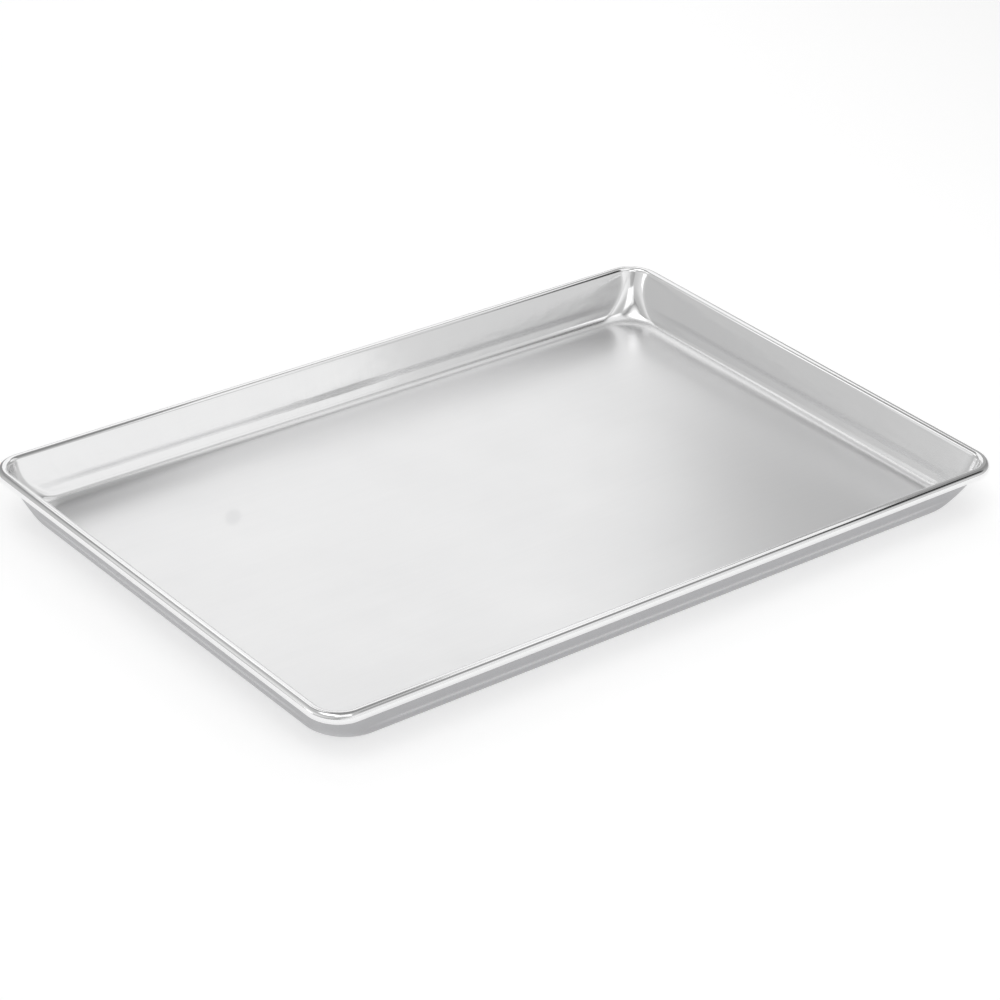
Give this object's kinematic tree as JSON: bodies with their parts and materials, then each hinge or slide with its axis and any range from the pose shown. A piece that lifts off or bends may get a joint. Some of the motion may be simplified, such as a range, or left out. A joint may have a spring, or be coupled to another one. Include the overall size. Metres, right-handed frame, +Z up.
{
  "type": "rimmed baking tray",
  "caption": "Shallow rectangular aluminium baking tray with flared walls, rounded drawn corners and a rim curled over a stiffening wire; holds dough, food or small goods.",
  "frame": {"origin": "middle of the flat underside, on the plane the tray stands on", "axes": "+X along the long sides, +Y along the short sides, +Z up out of the tray's mouth"},
  "size_m": [0.42, 0.28, 0.026],
  "materials": {
    "aluminium_sheet": "natural satin sheet with fine rolling grain, brighter on the drawn walls and the bead",
    "steel_wire": "dull galvanised wire, hidden in the bead"
  },
  "bodies": {
    "root": {"tray_shell": "aluminium_sheet", "rim_wire": "steel_wire"}
  },
  "joints": []
}
